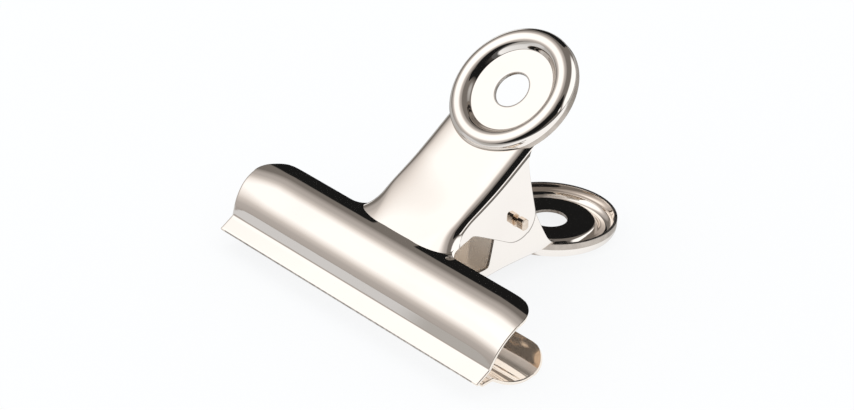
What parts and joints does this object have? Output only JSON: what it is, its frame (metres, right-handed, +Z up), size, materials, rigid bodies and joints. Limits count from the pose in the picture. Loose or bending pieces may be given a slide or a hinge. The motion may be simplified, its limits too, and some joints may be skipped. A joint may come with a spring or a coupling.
{
  "type": "bulldog clip",
  "caption": "Bright-plated bulldog clip: two stamped arms with rolled jaws and beaded finger discs, hinged on a crimped pin and closed by a wire torsion spring.",
  "frame": {"origin": "on the surface the clip lies on, below the middle of its box", "axes": "+X along the jaw, +Y from the lips to the finger discs, +Z up with the clip lying on its lower arm"},
  "size_m": [0.0768, 0.0662, 0.044],
  "materials": {
    "plated_sheet": "bright nickel plate on spring steel sheet",
    "pin_steel": "bright drawn steel rod with pinched ends",
    "spring_wire": "drawn spring wire, slightly darker than the plate"
  },
  "bodies": {
    "lower_body": {"lower_arm": "plated_sheet", "pivot_pin": "pin_steel", "torsion_spring": "spring_wire"},
    "upper_body": {"upper_arm": "plated_sheet"}
  },
  "joints": [
    {"name": "jaw_hinge", "type": "hinge", "parent": "lower_body", "child": "upper_body", "pos_m": [0, 0.00055, 0.01419], "axis": [-1, 0, 0], "range_deg": [0, 70], "stiffness_Nm_per_rad": 0.1, "springref_deg": -57.3, "deforming": ["torsion_spring"]}
  ]
}
